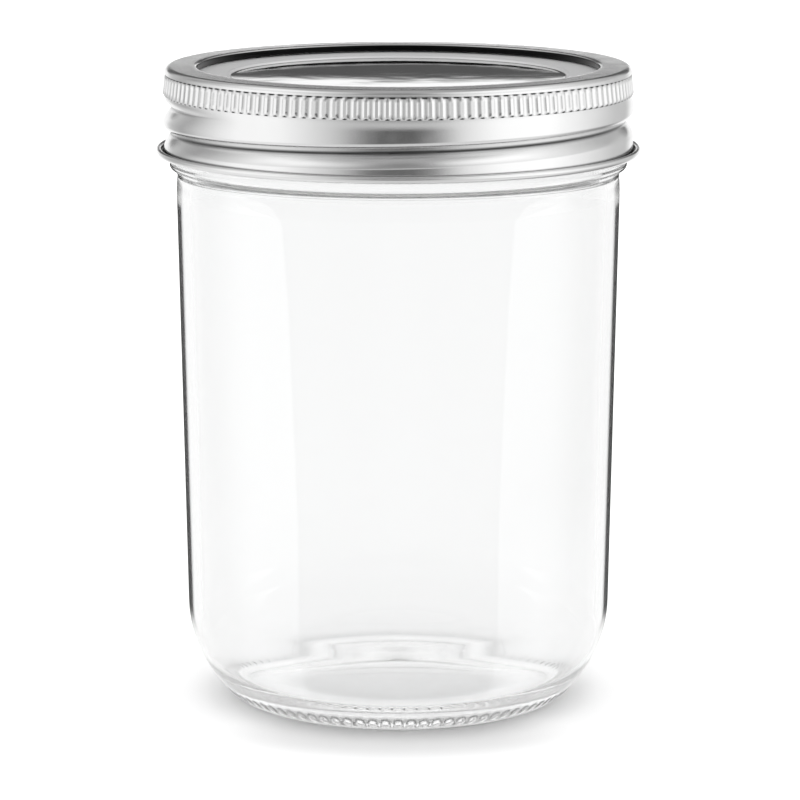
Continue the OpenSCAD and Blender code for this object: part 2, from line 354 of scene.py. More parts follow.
def glass_finish(size):
    """Clear moulded glass with slightly wavy faces and raised stipples, painted shade along the edges of its outer
    wall and painted shade over the upper edge of each stipple.
    """
    material, wiring, shader = finish_tree("clear_glass")
    shader.inputs["Roughness"].default_value = 0
    shader.inputs["IOR"].default_value = 1.5
    shader.inputs["Transmission Weight"].default_value = 1
    place = wiring.add("ShaderNodeTexCoord").outputs["Object"]
    spot = wiring.add("ShaderNodeSeparateXYZ", {"Vector": place}).outputs
    facing = wiring.add("ShaderNodeLayerWeight", {"Blend": 0.5}).outputs["Facing"]
    # Painted shade darkens the edges of the outer wall, from the heel up to the shoulder
    radius = wiring.math("POWER", wiring.math(
        "MULTIPLY_ADD", spot["X"], spot["X"], wiring.math("MULTIPLY", spot["Y"], spot["Y"])
    ), 0.5)
    over = wiring.math("SUBTRACT", radius, wiring.math("MULTIPLY_ADD", spot["Z"], 0.0186, 38.3 * MM))
    outer = wiring.math("GREATER_THAN", over, 0.0)
    low = wiring.fade(spot["Z"], 13 * MM, 17 * MM)
    high = wiring.fade(spot["Z"], 94.5 * MM, 96 * MM, 1.0, 0.0)
    line = wiring.fade(facing, 0.79, 0.83)
    dark = wiring.math("MULTIPLY", wiring.math("MULTIPLY", line, outer), wiring.math("MULTIPLY", low, high))
    dots, edges = stipple_share(
        wiring, spot, size.stipple_n, size.stipple_low_z, size.stipple_high_z, size.ring_in_r
    )
    # Painted shade darkens each stipple's upper edge, seen from outside only, not through the glass
    entering = wiring.math(
        "SUBTRACT", 0.9, wiring.add("ShaderNodeNewGeometry").outputs["Backfacing"]
    )
    dark = wiring.math("MAXIMUM", dark, wiring.math("MULTIPLY", edges, entering))
    share = wiring.math("MULTIPLY_ADD", dark, -0.97, 1.0)
    shade = wiring.add(
        "ShaderNodeVectorMath", {0: size.glass_tint, "Scale": share}, operation="SCALE"
    ).outputs[0]
    wiring.tree.links.new(shade, shader.inputs["Base Color"])
    waves = wiring.add(
        "ShaderNodeTexNoise", {"Vector": place, "Scale": 45.0, "Detail": 1.5, "Roughness": 0.4}
    )
    wavy = wiring.add(
        "ShaderNodeBump", {"Height": waves.outputs["Fac"], "Strength": 0.05, "Distance": 0.0006}
    ).outputs[0]
    bump = wiring.add(
        "ShaderNodeBump",
        {"Height": dots, "Strength": 1.0, "Distance": size.stipple_h / 2, "Normal": wavy},
    )
    wiring.tree.links.new(bump.outputs[0], shader.inputs["Normal"])
    return material


def steel_finish(name, colour, rough, grain, enamel=None, ring=None, painted_shade=False):
    """Tinned steel sheet: a fine grain, faint clouds in its gloss and tiny specks.

    Where an enamel colour is given, the faces that look down wear it. Between the two radii
    of a ring the metal is gently dished and matt. Painted shade, near black, darkens the
    steel where the piece's attribute marks it.
    """
    material, wiring, shader = finish_tree(name)
    shader.inputs["Metallic"].default_value = 1
    place = wiring.add("ShaderNodeTexCoord").outputs["Object"]
    clouds = wiring.add(
        "ShaderNodeTexNoise", {"Vector": place, "Scale": 260.0, "Detail": 4.0}
    ).outputs["Fac"]
    result = wiring.mix_colour([c * 0.93 for c in colour], colour, clouds)
    gloss = wiring.fade(clouds, 0.3, 0.7, rough * 0.85, rough * 1.15)
    if painted_shade:
        # Painted shade: near-black steel where the piece's attribute marks the groove, the curl, the opening's lip
        # and the recesses of the grip
        mark = wiring.add("ShaderNodeAttribute", attribute_name="painted_shade").outputs["Fac"]
        shade_amount = wiring.fade(mark, 0.1, 1.1, 0.0, 1.0)
        result = wiring.mix_colour(result, (0.01, 0.01, 0.01), shade_amount)
    if enamel:
        normal = wiring.add("ShaderNodeNewGeometry").outputs["Normal"]
        down = wiring.add("ShaderNodeSeparateXYZ", {"Vector": normal}).outputs["Z"]
        coated = wiring.math("LESS_THAN", down, -0.3)
        result = wiring.mix_colour(result, enamel, coated)
        gloss = wiring.blend(gloss, 0.4, coated)
        bare = wiring.math("SUBTRACT", 1.0, coated)
        wiring.tree.links.new(bare, shader.inputs["Metallic"])
    specks = wiring.add(
        "ShaderNodeTexNoise", {"Vector": place, "Scale": 2600.0, "Detail": 2.0}
    ).outputs["Fac"]
    bump = wiring.add(
        "ShaderNodeBump", {"Height": specks, "Strength": grain, "Distance": 0.00002}
    )
    if ring:
        spot = wiring.add("ShaderNodeSeparateXYZ", {"Vector": place}).outputs
        radius = wiring.math("POWER", wiring.math(
            "MULTIPLY_ADD", spot["X"], spot["X"], wiring.math("MULTIPLY", spot["Y"], spot["Y"])
        ), 0.5)
        matt = wiring.math("SUBTRACT", 1.0, coated)
        matt = wiring.math("MULTIPLY", matt, wiring.fade(radius, ring[0] - 0.3 * MM, ring[0]))
        matt = wiring.math("MULTIPLY", matt, wiring.fade(radius, ring[1], ring[1] + 0.3 * MM, 1, 0))
        result = wiring.mix_colour(result, (0.75, 0.75, 0.75), matt)
        gloss = wiring.blend(gloss, 0.5, matt)
        bare = wiring.math("MULTIPLY", bare, wiring.math("MULTIPLY_ADD", matt, -0.3, 1.0))
        wiring.tree.links.new(bare, shader.inputs["Metallic"])
        waves = wiring.add(
            "ShaderNodeTexNoise", {"Vector": place, "Scale": 70.0, "Detail": 2.0, "Roughness": 0.4}
        ).outputs["Fac"]
        wavy = wiring.add(
            "ShaderNodeBump", {"Height": waves, "Strength": 1.0, "Distance": 0.00008}
        ).outputs[0]
        wiring.tree.links.new(wavy, bump.inputs["Normal"])
    wiring.tree.links.new(result, shader.inputs["Base Color"])
    wiring.tree.links.new(gloss, shader.inputs["Roughness"])
    wiring.tree.links.new(bump.outputs[0], shader.inputs["Normal"])
    return material


def seal_finish(colour):
    """Soft sealing compound, matt and a little uneven."""
    material, wiring, shader = finish_tree("seal_compound")
    place = wiring.add("ShaderNodeTexCoord").outputs["Object"]
    mottle = wiring.add(
        "ShaderNodeTexNoise", {"Vector": place, "Scale": 700.0, "Detail": 3.0}
    ).outputs["Fac"]
    ramp = wiring.add("ShaderNodeValToRGB", {"Fac": mottle})
    ramp.color_ramp.elements[0].color = (*[c * 0.85 for c in colour], 1)
    ramp.color_ramp.elements[1].color = (*[c * 1.1 for c in colour], 1)
    wiring.tree.links.new(ramp.outputs["Color"], shader.inputs["Base Color"])
    shader.inputs["Roughness"].default_value = 0.6
    bump = wiring.add(
        "ShaderNodeBump", {"Height": mottle, "Strength": 0.2, "Distance": 0.00005}
    )
    wiring.tree.links.new(bump.outputs[0], shader.inputs["Normal"])
    return material


def thread_z(az_deg, band):
    """Height of the rolled groove at an azimuth."""
    return band.groove_front_z + band.pitch * (az_deg - FRONT_AZ) / 360


def thread_fade(az_deg, az0, az1):
    """0 at the ends of a thread and 1 where it has its full depth."""
    fade_turn = 60
    t = np.clip(np.minimum((az_deg - az0) / fade_turn, (az1 - az_deg) / fade_turn), 0, 1)
    return (1 - np.cos(math.pi * t)) / 2


def helix_side(z, a, band, lead, az_range):
    """Height of points over the thread's middle line and the fade there, for the nearest turn."""
    side = np.full_like(z, 1.0)
    depth = np.zeros_like(z)
    for turn in (-1, 0, 1):
        az = np.degrees(a) + 360 * turn
        inside = (az >= az_range[0]) & (az <= az_range[1])
        here = z - thread_z(az, band) - lead
        nearer = inside & (np.abs(here) < np.abs(side))
        side = np.where(nearer, here, side)
        depth = np.where(nearer, thread_fade(az, *az_range), depth)
    return side, depth


def rib_wave(side, half_h, flat):
    """A rib's height from 0 to 1: a flat crest and sides that ease into the neck."""
    t = np.clip((np.abs(side) / half_h - flat) / (1 - flat), 0, 1)
    return (1 + np.cos(math.pi * t)) / 2


def groove_wave(side, up_h, down_h):
    """A groove's depth from 0 to 1: a narrow rounded bottom between two convex sides."""
    tip = 0.1
    t = np.clip(np.where(side > 0, side / up_h, -side / down_h), 0, 1)
    t = (np.sqrt(t**2 + tip**2) - tip) / (math.sqrt(1 + tip**2) - tip)
    return (1 - t) ** 1.5


class OBJECT_OT_glass_jar(bpy.types.Operator):
    """Make the glass jar with its thread, bead, heel and stippled ring"""

    bl_idname = "object.starter_glass_jar"
    bl_label = "Glass jar"

    def execute(self, context):
        size = context.scene.starter_glass
        band = context.scene.starter_band
        top = JAR_HIGH.z
        bead_z = top - 16.7 * MM
        pinch_z = top - 18.9 * MM
        body_top_z = top - 23 * MM
        neck_foot_z = bead_z + 2.2 * MM
        taper = math.degrees(math.atan2(size.body_top_r - size.body_foot_r, body_top_z - size.heel_z))
        heel_c = (
            size.body_foot_r - size.heel_r * math.cos(math.radians(taper)),
            size.heel_z + size.heel_r * math.sin(math.radians(taper)),
        )
        reach = size.heel_r - size.foot_edge_r
        drop = heel_c[1] - size.foot_edge_r
        foot_c = (heel_c[0] + math.sqrt(reach**2 - drop**2), size.foot_edge_r)
        meet = math.degrees(math.asin(drop / reach))
        lip = 1.2 * MM
        edge = size.foot_edge_r
        outside = (
            arc(foot_c, edge, -90, -meet, 18)
            + arc(heel_c, size.heel_r, -meet + 1.5, -taper, 24)
            + run((size.body_foot_r, size.heel_z), (size.body_top_r, body_top_z), 5)
            + bend(
                (size.body_top_r, body_top_z),
                (size.body_top_r, pinch_z - 0.4 * MM),
                (size.body_top_r - 0.2 * MM, pinch_z),
                9,
            )
            + bend(
                (size.bead_r - 1.1 * MM, bead_z - 0.8 * MM),
                (size.bead_r, bead_z - 0.7 * MM),
                (size.bead_r, bead_z),
                7,
            )
            + bend(
                (size.bead_r, bead_z + 0.2 * MM),
                (size.bead_r, bead_z + 1.2 * MM),
                (size.neck_r, neck_foot_z),
                6,
            )
            + run((size.neck_r, neck_foot_z), (size.neck_r, top - lip), 34)
            + arc((size.neck_r - lip, top - lip), lip, 0, 90, 7)
        )
        in_lip = 1 * MM
        neck_in_z = pinch_z + 4 * MM
        wall_in_r = size.body_top_r - size.wall_t
        foot_in_r = size.body_foot_r - size.wall_t
        floor_r = foot_in_r - size.floor_corner_w
        corner_z = size.floor_t + size.floor_corner_h
        inside = (
            arc((size.mouth_r + in_lip, top - in_lip), in_lip, 90, 180, 7)
            + [
                (
                    size.mouth_r + (wall_in_r - size.mouth_r) * (1 - math.cos(math.pi * t / 12)) / 2,
                    neck_in_z + (body_top_z - neck_in_z) * t / 12,
                )
                for t in range(13)
            ]
            + run((wall_in_r, body_top_z), (foot_in_r, corner_z), 5)
            + [
                (
                    floor_r + size.floor_corner_w * math.cos(a) ** (2 / size.floor_corner_power),
                    corner_z - size.floor_corner_h * math.sin(a) ** (2 / size.floor_corner_power),
                )
                for a in np.linspace(0, math.pi / 2 - 1e-9, 23)
            ]
            + [
                (floor_r * t, size.floor_t + size.floor_dome_h * (1 - t * t))
                for t in (0.85, 0.7, 0.5, 0.3, 0.15, 0)
            ]
        )
        underside = [(size.ring_in_r * t, size.punt_h * (1 - t * t)) for t in np.linspace(0, 1, 10)]
        ring = run((size.ring_in_r, 0), (foot_c[0], 0), 3)

        def shape(r, z, a):
            on_neck = (z > neck_foot_z) & (z < top - lip) & (r > size.mouth_r + 2 * MM)
            side, depth = helix_side(z, a, band, 1.95 * MM, (FRONT_AZ - 160, FRONT_AZ + 260))
            rib = rib_wave(side, 1.45 * MM, 0.31) * depth
            r = r + np.where(on_neck, size.thread_depth * rib, 0)
            return r, z

        mesh = lathe(underside + ring + outside + inside, size.stipple_n * 6, shape)
        finish = glass_finish(size)
        piece = add_piece("glass_jar", mesh, finish, 60)
        stipples = piece.modifiers.new("Stipples", "NODES")
        stipples.node_group = stipple_tree(finish)
        set_input(stipples, "Stipple count", size.stipple_n)
        set_input(stipples, "Stipple height", size.stipple_h / 2)
        set_input(stipples, "Ring foot", size.stipple_low_z)
        set_input(stipples, "Ring head", size.stipple_high_z)
        set_input(stipples, "Ring radius", size.ring_in_r)
        bake_nodes(piece, finish, 60)
        place_piece(piece, "jar", "jar")
        return {"FINISHED"}


def stipple_tree(finish):
    """Geometry Nodes that raise a ring of rounded stipples out of the glass above its foot."""
    tree = bpy.data.node_groups.new("Stipples", "GeometryNodeTree")
    face = tree.interface
    face.new_socket("Geometry", in_out="INPUT", socket_type="NodeSocketGeometry")
    face.new_socket("Stipple count", in_out="INPUT", socket_type="NodeSocketInt")
    for name in ("Stipple height", "Ring foot", "Ring head", "Ring radius"):
        face.new_socket(name, in_out="INPUT", socket_type="NodeSocketFloat")
    face.new_socket("Geometry", in_out="OUTPUT", socket_type="NodeSocketGeometry")
    wiring = Wiring(tree)
    given = wiring.add("NodeGroupInput").outputs
    place = wiring.add(
        "ShaderNodeSeparateXYZ", {"Vector": wiring.add("GeometryNodeInputPosition").outputs[0]}
    ).outputs
    dots, _ = stipple_share(
        wiring, place, given["Stipple count"], given["Ring foot"], given["Ring head"], given["Ring radius"]
    )
    share = wiring.math("MULTIPLY", dots, given["Stipple height"])
    out = wiring.add(
        "ShaderNodeVectorMath",
        {0: wiring.add("GeometryNodeInputNormal").outputs[0], "Scale": share},
        operation="SCALE",
    ).outputs[0]
    raised = wiring.add(
        "GeometryNodeSetPosition", {"Geometry": given["Geometry"], "Offset": out}
    ).outputs[0]
    real = wiring.add("GeometryNodeRealizeInstances", {"Geometry": raised}).outputs[0]
    done = wiring.add(
        "GeometryNodeSetMaterial", {"Geometry": real, "Material": finish}
    ).outputs[0]
    wiring.add("NodeGroupOutput", {"Geometry": done})
    return tree


class OBJECT_OT_screw_band(bpy.types.Operator):
    """Make the screw band: rolled groove, open curl and knurled grip"""

    bl_idname = "object.starter_screw_band"
    bl_label = "Screw band"

    def execute(self, context):
        band = context.scene.starter_band
        top = BAND_HIGH.z
        bottom = BAND_LOW.z
        t = band.sheet_t
        opening_c = (band.opening_r + band.opening_bend_r, top - band.opening_bend_r)
        crown_c = (band.grip_r - band.crown_r, top - band.crown_r)
        crown_start = 16
        grip_bottom_z = top - band.knurl_drop - band.knurl_h
        flare_z = (grip_bottom_z + band.bulge_z) / 2
        curl_r = (band.curl_w + t) / 2
        curl_c = (band.band_r - t + curl_r, bottom + curl_r)
        edge_r = (band.curl_w - band.curl_gap) / 2
        edge_c = (band.band_r + band.curl_w - edge_r, curl_c[1])
        slot_r = band.curl_gap / 2
        slot_c = (band.band_r + slot_r, bottom + t + slot_r)
        under_r = band.grip_r - band.sheet_t * 0.9
        grip = [
            (band.grip_r, top - band.knurl_drop),
            (under_r, top - band.knurl_drop - 0.2 * MM),
            (under_r, grip_bottom_z + 0.2 * MM),
            (band.grip_r, grip_bottom_z),
        ]
        grip_in = ((band.grip_r, crown_c[1]), (band.grip_r, grip_bottom_z))
        flare = ((band.grip_r, grip_bottom_z), (band.band_r, flare_z), (band.band_r, band.bulge_z))
        wall = ((band.band_r, band.bulge_z), (band.band_r, slot_c[1]))

        def inwards(points):
            """The same points on the inner face of the sheet, from the lowest up."""
            return [(r - t, z) for r, z in points[::-1]]

        section = (
            [(band.opening_r, top - band.opening_lip_h)]
            + arc(opening_c, band.opening_bend_r, 180, 90, 10)
            + [(r, top - band.top_slope * (r - opening_c[0])) for r in np.linspace(opening_c[0], crown_c[0], 6)[1:]]
            + arc(crown_c, band.crown_r, 90 - crown_start, 0, 12)
            + grip
            + bend(*flare, 18)
            + run(*wall, 50)
            + arc(slot_c, slot_r, 180, 360, 8)
            + arc(edge_c, edge_r, 180, 0, 10)
            + arc(curl_c, curl_r, 0, -180, 16)
            + inwards(run(*wall, 26))
            + inwards(bend(*flare, 6))
            + inwards(run(*grip_in, 3))
            + arc(crown_c, band.crown_r - t, 0, 90, 6)
            + arc(opening_c, band.opening_bend_r - t, 90, 180, 5)
            + [(band.opening_r + t, top - band.opening_lip_h)]
        )
        groove_az = (FRONT_AZ - 130, FRONT_AZ + 330)

        def shape(r, z, a):
            on_wall = (r > band.grip_r - t - 1e-6) & (r < band.band_r + 1e-6)
            side, depth = helix_side(z, a, band, 0, groove_az)
            wave = groove_wave(side, band.groove_up_h, band.groove_down_h) * depth
            keep = np.clip((z - curl_c[1]) / (0.6 * MM), 0, 1)
            return r - np.where(on_wall, band.groove_depth * wave * keep, 0), z

        mesh = lathe(section, band.knurl_n * 3, shape, loop=True)
        self.mark_painted_shade(mesh, band, groove_az)
        finish = steel_finish("band_steel", band.steel, 0.17, 0.25, painted_shade=True)
        piece = add_piece("band", mesh, finish, 65)
        tree = knurl_tree(finish)
        knurl = piece.modifiers.new("Knurl", "NODES")
        knurl.node_group = tree
        set_input(knurl, "Rib count", band.knurl_n)
        set_input(knurl, "Wall radius", band.grip_r)
        set_input(knurl, "Valley depth", 0.16 * MM)
        set_input(knurl, "Rib depth", band.knurl_t - 0.23 * MM)
        set_input(knurl, "Grip lean", 0.114)
        set_input(knurl, "Grip height", band.knurl_h)
        set_input(knurl, "Grip middle", top - band.knurl_drop - band.knurl_h / 2)
        bake_nodes(piece, finish, 33)
        place_piece(piece, "band", "screw_band")
        return {"FINISHED"}

    def mark_painted_shade(self, mesh, band, az_range):
        """Stores how much painted shade darkens each point: in the groove, in the curl and inside the opening."""
        co = np.empty(len(mesh.vertices) * 3)
        mesh.vertices.foreach_get("co", co)
        x, y, z = co.reshape(-1, 3).T
        side, depth = helix_side(z, np.arctan2(y, x), band, 0, az_range)
        near = (1 - np.clip(np.abs(side - band.painted_shade_z) / band.painted_shade_w, 0, 1)) * depth
        r = np.hypot(x, y)
        lip = (r < band.opening_r + 0.08 * MM) & (z > BAND_HIGH.z - band.opening_lip_h - 0.1 * MM)
        curl_z = BAND_LOW.z + (band.curl_w + band.sheet_t) / 2
        low = 1 - np.clip((z - curl_z - 0.2 * MM) / (0.5 * MM), 0, 1)
        slot = np.where((r > band.band_r - 0.05 * MM) & (r < band.band_r + band.curl_gap + 0.02 * MM), low, 0)
        slot = np.where(z > BAND_LOW.z + 0.4 * MM, slot, 0)
        mark = mesh.attributes.new("painted_shade", "FLOAT", "POINT")
        mark.data.foreach_set("value", np.maximum(near, np.maximum(lip * 1.5, slot)))


def set_input(modifier, name, value):
    """Sets an input of a Geometry Nodes modifier by the name that its tree gives it."""
    for item in modifier.node_group.interface.items_tree:
        if item.item_type == "SOCKET" and item.in_out == "INPUT" and item.name == name:
            modifier[item.identifier] = value
            return
    raise KeyError(name)


def bake_nodes(piece, finish, smooth_deg):
    """Turns a piece's Geometry Nodes result into its own plain mesh."""
    graph = bpy.context.evaluated_depsgraph_get()
    mesh = bpy.data.meshes.new_from_object(piece.evaluated_get(graph))
    piece.modifiers.clear()
    piece.data = mesh
    mesh.name = piece.name
    mesh.polygons.foreach_set("use_smooth", [True] * len(mesh.polygons))
    mesh.set_sharp_from_angle(angle=math.radians(smooth_deg))
    mesh.materials.clear()
    mesh.materials.append(finish)


def knurl_tree(finish):
    """Geometry Nodes that roll one ring of ribs and valleys into the band's grip."""
    tree = bpy.data.node_groups.new("Knurled grip", "GeometryNodeTree")
    face = tree.interface
    face.new_socket("Geometry", in_out="INPUT", socket_type="NodeSocketGeometry")
    face.new_socket("Rib count", in_out="INPUT", socket_type="NodeSocketInt")
    for name in ("Wall radius", "Valley depth", "Rib depth", "Grip lean", "Grip height", "Grip middle"):
        face.new_socket(name, in_out="INPUT", socket_type="NodeSocketFloat")
    face.new_socket("Geometry", in_out="OUTPUT", socket_type="NodeSocketGeometry")
    wiring = Wiring(tree)
    given = wiring.add("NodeGroupInput").outputs
    step = wiring.math("DIVIDE", math.tau, given["Rib count"])
    # One rib with half of the valley on each side of it, from -1 to 1 both ways
    cell = wiring.add(
        "GeometryNodeMeshGrid", {"Size X": 2.0, "Size Y": 2.0, "Vertices X": 7, "Vertices Y": 9}
    ).outputs["Mesh"]
    place = wiring.add(
        "ShaderNodeSeparateXYZ", {"Vector": wiring.add("GeometryNodeInputPosition").outputs[0]}
    ).outputs
    # Columns crowd on the flanks of the rib and rows towards its ends
    across = wiring.math("ABSOLUTE", place["X"])
    wide = wiring.math("MULTIPLY", across, wiring.fade(across, 0.34, 0.66, 0.84, 1.02))
    wide = wiring.math("MINIMUM", wide, 1.0)
    room = wiring.math("SUBTRACT", 1.0, wiring.math("ABSOLUTE", place["Y"]))
    high = wiring.math("SUBTRACT", 1.0, wiring.math("POWER", room, 2.2))
    # A flat crest with a round end, between valleys that stay deep to their ends
    top = wiring.fade(high, 0.8, 1.0, 1.0, 0.0)
    foot = wiring.math("MULTIPLY_ADD", top, 0.2, 0.5)
    ridge = wiring.add("ShaderNodeMapRange", {
        "Value": wide, "From Min": wiring.math("SUBTRACT", foot, 0.42), "From Max": foot,
        "To Min": 1.0, "To Max": 0.0,
    }).outputs["Result"]
    crest = wiring.math("MULTIPLY", ridge, top)
    deep = wiring.fade(high, 0.95, 1.0, 1.0, 0.0)
    valley = wiring.math("MULTIPLY", given["Valley depth"], deep)
    depth = wiring.math("ADD", given["Rib depth"], valley)
    lift = wiring.math("SUBTRACT", wiring.math("MULTIPLY", crest, depth), valley)
    side = wiring.math("MULTIPLY", wiring.math("SIGN", place["Y"]), high)
    rise = wiring.math("MULTIPLY", wiring.math("MULTIPLY", side, 0.5), given["Grip height"])
    lean = wiring.math("MULTIPLY", wiring.math("MULTIPLY", rise, given["Grip lean"]), deep)
    radius = wiring.math("SUBTRACT", wiring.math("ADD", given["Wall radius"], lift), lean)
    turn = wiring.math("MULTIPLY", wiring.math("MULTIPLY", wiring.math(
        "MULTIPLY", wiring.math("SIGN", place["X"]), wide
    ), 0.5), step)
    # Painted shade, stored in the attribute, sits at the upper ends of the valleys and under the feet of the ribs
    upper = wiring.math("GREATER_THAN", place["Y"], 0.0)
    pocket = wiring.math(
        "MULTIPLY", wiring.math("SUBTRACT", 1.0, ridge), wiring.fade(high, 0.7, 0.95, 0.0, 1.4)
    )
    under = wiring.math("MULTIPLY", ridge, wiring.fade(high, 0.8, 0.95, 0.0, 1.4))
    rib_shade = wiring.blend(under, pocket, upper)
    spot = wiring.add(
        "ShaderNodeCombineXYZ",
        {
            "X": wiring.math("MULTIPLY", radius, wiring.math("COSINE", turn)),
            "Y": wiring.math("MULTIPLY", radius, wiring.math("SINE", turn)),
            "Z": wiring.math("ADD", rise, given["Grip middle"]),
        },
    ).outputs[0]
    marked = wiring.add(
        "GeometryNodeStoreNamedAttribute", {"Geometry": cell, "Name": "painted_shade", "Value": rib_shade}
    ).outputs[0]
    rib = wiring.add("GeometryNodeSetPosition", {"Geometry": marked, "Position": spot}).outputs[0]
    points = wiring.add("GeometryNodePoints", {"Count": given["Rib count"]}).outputs[0]
    angle = wiring.math("MULTIPLY", wiring.add("GeometryNodeInputIndex").outputs[0], step)
    ribs = wiring.add(
        "GeometryNodeInstanceOnPoints",
        {
            "Points": points,
            "Instance": rib,
            "Rotation": wiring.add("ShaderNodeCombineXYZ", {"Z": angle}).outputs[0],
        },
    ).outputs[0]
    ring = wiring.add("GeometryNodeRealizeInstances", {"Geometry": ribs}).outputs[0]
    whole = wiring.add(
        "GeometryNodeMergeByDistance", {"Geometry": ring, "Distance": 0.002 * MM}
    ).outputs[0]
    both = wiring.add("GeometryNodeJoinGeometry")
    tree.links.new(whole, both.inputs[0])
    tree.links.new(given["Geometry"], both.inputs[0])
    real = wiring.add("GeometryNodeRealizeInstances", {"Geometry": both.outputs[0]}).outputs[0]
    done = wiring.add(
        "GeometryNodeSetMaterial", {"Geometry": real, "Material": finish}
    ).outputs[0]
    wiring.add("NodeGroupOutput", {"Geometry": done})
    return tree


def lid_line(lid, band, t):
    """The lid's section from its middle to its rim. t moves it down, which makes the underside."""
    rim_z = BAND_HIGH.z - band.sheet_t - 0.05 * MM
    annulus_z = BAND_HIGH.z - band.opening_lip_h - lid.annulus_gap
    edge_z = annulus_z - lid.panel_depth
    o = band.opening_r
    return (
        bend(
            (0, edge_z - lid.panel_dish - t),
            (lid.panel_r / 2, edge_z - lid.panel_dish - t),
            (lid.panel_r - 1 * MM, edge_z - t),
            16,
        )
        + bend(
            (lid.panel_r - 0.6 * MM, edge_z + 0.02 * MM - t),
            (lid.panel_r - 0.1 * MM, edge_z + 0.05 * MM - t),
            (lid.panel_r, edge_z + lid.panel_depth / 2 - t),
            4,
        )
        + bend(
            (lid.panel_r + 0.05 * MM, edge_z + lid.panel_depth * 0.6 - t),
            (lid.panel_r + 0.15 * MM, annulus_z - t),
            (lid.panel_r + 0.8 * MM, annulus_z - t),
            5,
        )
        + bend(
            (o + 0.1 * MM, annulus_z - t),
            (o + 0.7 * MM, annulus_z - t),
            (o + 0.8 * MM, annulus_z + 0.35 * MM - t),
            5,
        )
        + [(o + 1.3 * MM, rim_z - t), (lid.lid_r - 0.6 * MM, rim_z - t)]
    )


class OBJECT_OT_flat_lid(bpy.types.Operator):
    """Make the flat lid with its sunk panel and rim channel"""

    bl_idname = "object.starter_flat_lid"
    bl_label = "Flat lid"

    def execute(self, context):
        lid = context.scene.starter_lid
        band = context.scene.starter_band
        over = lid_line(lid, band, 0)
        under = lid_line(lid, band, lid.lid_t)
        edge = over[-1]
        skirt_z = BAND_HIGH.z - band.opening_lip_h - lid.annulus_gap + 0.1 * MM
        outline = (
            over
            + bend(
                (edge[0] + 0.05 * MM, edge[1]), (lid.lid_r, edge[1]), (lid.lid_r, edge[1] - 0.55 * MM), 6
            )
            + [(lid.lid_r, skirt_z), (lid.lid_r - lid.lid_t, skirt_z)]
            + [(lid.lid_r - lid.lid_t, under[-1][1] - 0.1 * MM)]
            + under[::-1]
        )
        mesh = lathe(outline, 288)
        ring = (lid.panel_r, band.opening_r + 0.3 * MM)
        finish = steel_finish("lid_steel", lid.steel, 0.04, 0.05, lid.enamel, ring)
        piece = add_piece("lid", mesh, finish, 40)
        place_piece(piece, "lid", "lid_disc")
        return {"FINISHED"}


class OBJECT_OT_seal(bpy.types.Operator):
    """Give the ring of sealing compound its finish"""

    bl_idname = "object.starter_seal"
    bl_label = "Sealing compound"

    def execute(self, context):
        finish = seal_finish(context.scene.starter_lid.seal)
        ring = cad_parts["seal_ring"]
        ring.data.materials.clear()
        ring.data.materials.append(finish)
        return {"FINISHED"}


def floor_finish():
    """Matt white with a painted shadow in front of the jar. Where glass shows it, it is painted darker far off, a
    touch darker to the right and left, lighter near the jar, and under the jar it glows with painted light.
    """
    material, wiring, shader = finish_tree("white_floor")
    place = wiring.add("ShaderNodeTexCoord").outputs["Object"]
    spot = wiring.add("ShaderNodeSeparateXYZ", {"Vector": place}).outputs
    radius = wiring.math("POWER", wiring.math(
        "MULTIPLY_ADD", spot["X"], spot["X"], wiring.math("MULTIPLY", spot["Y"], spot["Y"])
    ), 0.5)
    through = wiring.add("ShaderNodeLightPath").outputs["Is Transmission Ray"]
    # Seen through the glass, the floor is painted lighter near the jar, where the jar shades it, and darker far off
    near = wiring.math("POWER", wiring.math("DIVIDE", 36 * MM, radius), 1.6)
    behind = wiring.blend(0.667, 0.95, wiring.math("MINIMUM", near, 1.0))
    # Far off, the floor seen through the glass is painted a touch darker to the right and a little to the left
    aside = wiring.math("DIVIDE", spot["X"], radius)
    right = wiring.fade(aside, 0.06, 0.4, 1.0, 0.94)
    left = wiring.fade(aside, -0.4, -0.15, 0.985, 1.0)
    sides = wiring.math("MULTIPLY", left, right)
    sides = wiring.blend(1.0, sides, wiring.fade(radius, 0.1, 0.2))
    sides = wiring.blend(sides, 1.0, wiring.fade(wiring.math("ABSOLUTE", aside), 0.5, 0.8))
    behind = wiring.math("MULTIPLY", behind, sides)
    shade = wiring.blend(0.95, behind, through)
    # A painted shadow lies on the floor in front of the jar's foot, for every ray
    in_front = wiring.fade(wiring.math("DIVIDE", spot["Y"], radius), -0.97, -0.6, 0.2, 0.0)
    soft = wiring.math("MULTIPLY", in_front, wiring.fade(radius, 42 * MM, 55 * MM, 1.0, 0.0))
    soft = wiring.math("MULTIPLY", soft, wiring.fade(radius, 28 * MM, 33 * MM))
    shade = wiring.math("MULTIPLY", shade, wiring.math("SUBTRACT", 1.0, soft))
    wiring.tree.links.new(shade, shader.inputs["Base Color"])
    # The floor glows with painted light under the jar, where glass shows it
    painted_glow = wiring.blend(0.27, 0.6, wiring.fade(radius, 17 * MM, 25 * MM))
    painted_glow = wiring.blend(painted_glow, 0.5, wiring.fade(radius, 26 * MM, 29 * MM))
    painted_glow = wiring.math("MULTIPLY", painted_glow, wiring.fade(radius, 31 * MM, 35.5 * MM, 1.0, 0.0))
    painted_glow = wiring.math("MULTIPLY", painted_glow, through)
    wiring.tree.links.new(painted_glow, shader.inputs["Emission Strength"])
    shader.inputs["Emission Color"].default_value = (1, 1, 1, 1)
    shader.inputs["Roughness"].default_value = 1
    shader.inputs["Specular IOR Level"].default_value = 0
    return material


